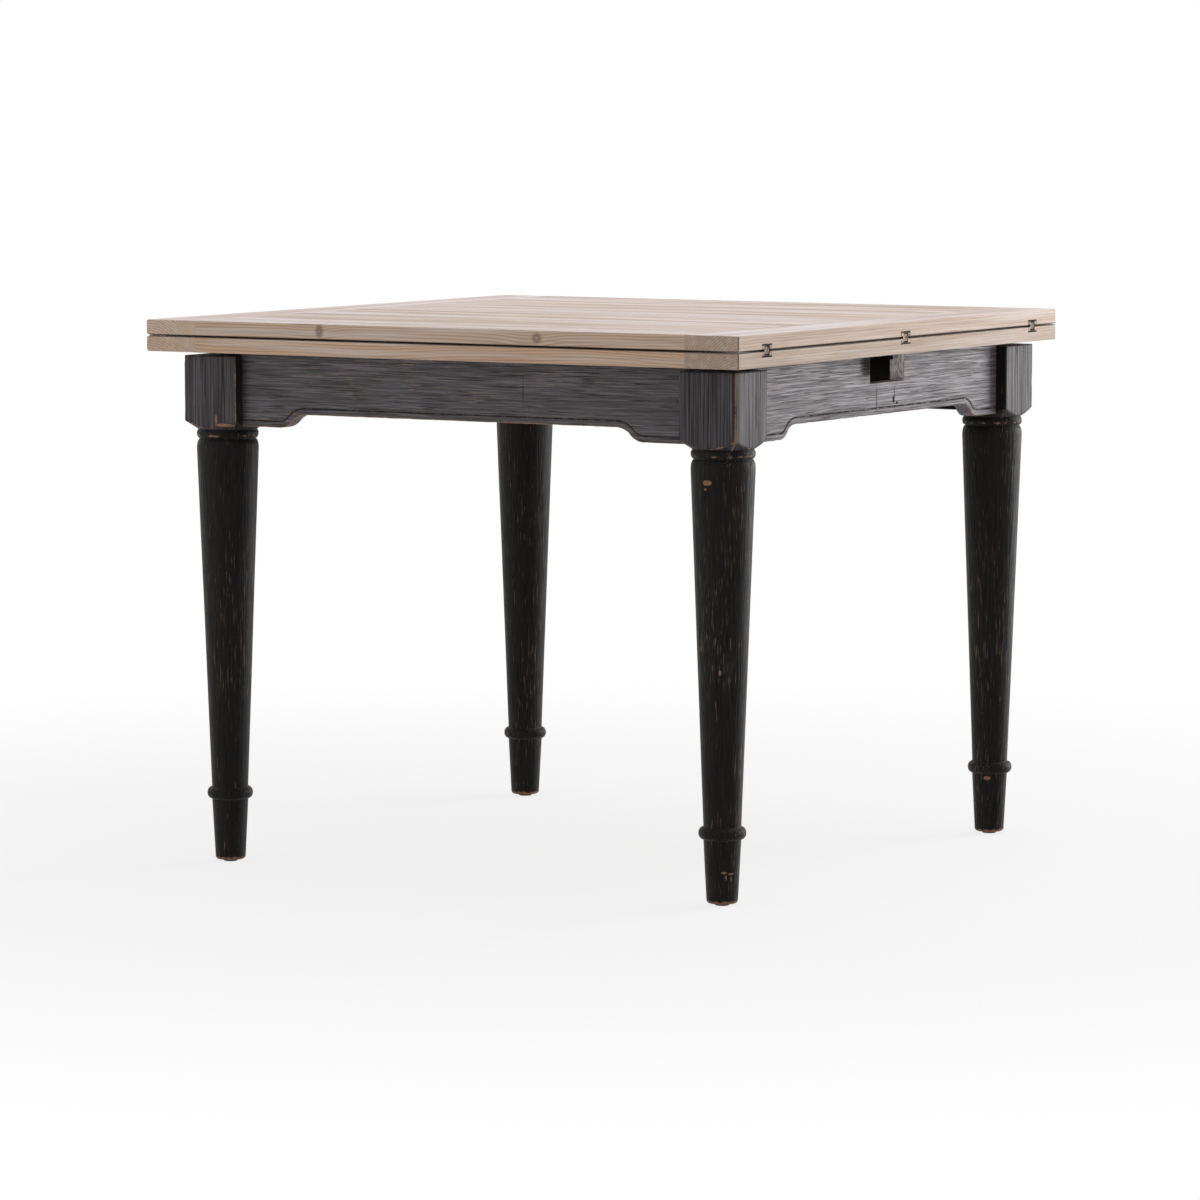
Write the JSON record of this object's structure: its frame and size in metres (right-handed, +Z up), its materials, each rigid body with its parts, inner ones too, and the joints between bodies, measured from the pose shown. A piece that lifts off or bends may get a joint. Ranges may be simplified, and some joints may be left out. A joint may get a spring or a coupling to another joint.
{
  "type": "extending dining table",
  "caption": "Square flip-top dining table on turned legs; its folded top slides sideways on a runner, then the hinged upper leaf turns over to lie beside the lower leaf.",
  "frame": {"origin": "on the floor under the middle of the folded top", "axes": "+Z up, +X towards the hinged edge of the top, +Y towards the back; the top slides along -X"},
  "size_m": [0.95, 0.95, 0.7685],
  "materials": {
    "black_paint_timber": "black paint, wire-brushed and rubbed through at the edges",
    "stained_timber": "dark stained",
    "inner_pine": "bare pine",
    "top_planks": "pale limed pine, matt",
    "top_breadboards": "pale limed pine, matt, grain across the leaf",
    "hinge_steel": "satin nickel",
    "hinge_bronze": "bronzed",
    "glide_plastic": "black nylon",
    "zinc_fasteners": "zinc plated"
  },
  "bodies": {
    "base": {"apron_back": "black_paint_timber", "apron_front": "black_paint_timber", "apron_left": "black_paint_timber", "apron_right": "black_paint_timber", "brace_screws": "zinc_fasteners", "corner_brace_back_left": "stained_timber", "corner_brace_back_right": "stained_timber", "corner_brace_front_left": "stained_timber", "corner_brace_front_right": "stained_timber", "glide_back_left": "glide_plastic", "glide_back_right": "glide_plastic", "glide_front_left": "glide_plastic", "glide_front_right": "glide_plastic", "guide_rail_back": "stained_timber", "guide_rail_front": "stained_timber", "hanger_bolt_nuts": "zinc_fasteners", "hanger_bolt_washers": "zinc_fasteners", "hanger_bolts": "zinc_fasteners", "leg_back_left": "black_paint_timber", "leg_back_right": "black_paint_timber", "leg_front_left": "black_paint_timber", "leg_front_right": "black_paint_timber"},
    "lower_leaf": {"closed_stop_back": "inner_pine", "closed_stop_front": "inner_pine", "hinge_cup_lower_back": "hinge_steel", "hinge_cup_lower_front": "hinge_steel", "hinge_cup_lower_middle": "hinge_steel", "hinge_pins_lower": "hinge_bronze", "lower_leaf_free_breadboard": "top_breadboards", "lower_leaf_hinge_breadboard": "top_breadboards", "lower_leaf_plank_1": "top_planks", "lower_leaf_plank_2": "top_planks", "lower_leaf_plank_3": "top_planks", "lower_leaf_plank_4": "top_planks", "lower_leaf_plank_5": "top_planks", "lower_leaf_plank_6": "top_planks", "lower_leaf_plank_7": "top_planks", "open_stop_back": "inner_pine", "open_stop_front": "inner_pine", "runner_screws": "zinc_fasteners", "slide_runner": "inner_pine", "stop_screws": "zinc_fasteners"},
    "hinge_links": {"hinge_link_back": "hinge_bronze", "hinge_link_front": "hinge_bronze", "hinge_link_middle": "hinge_bronze"},
    "upper_leaf": {"hinge_cup_upper_back": "hinge_steel", "hinge_cup_upper_front": "hinge_steel", "hinge_cup_upper_middle": "hinge_steel", "hinge_pins_upper": "hinge_bronze", "upper_leaf_free_breadboard": "top_breadboards", "upper_leaf_hinge_breadboard": "top_breadboards", "upper_leaf_plank_1": "top_planks", "upper_leaf_plank_2": "top_planks", "upper_leaf_plank_3": "top_planks", "upper_leaf_plank_4": "top_planks", "upper_leaf_plank_5": "top_planks", "upper_leaf_plank_6": "top_planks", "upper_leaf_plank_7": "top_planks"}
  },
  "joints": [
    {"name": "top_slide", "type": "slide", "parent": "base", "child": "lower_leaf", "axis": [-1, 0, 0], "range_m": [0, 0.466]},
    {"name": "link_swing", "type": "hinge", "parent": "lower_leaf", "child": "hinge_links", "pos_m": [0.472, 0, 0.7425], "axis": [0, 1, 0], "range_deg": [0, 90]},
    {"name": "leaf_fold", "type": "hinge", "parent": "hinge_links", "child": "upper_leaf", "pos_m": [0.472, 0, 0.7505], "axis": [0, 1, 0], "range_deg": [0, 90]}
  ]
}
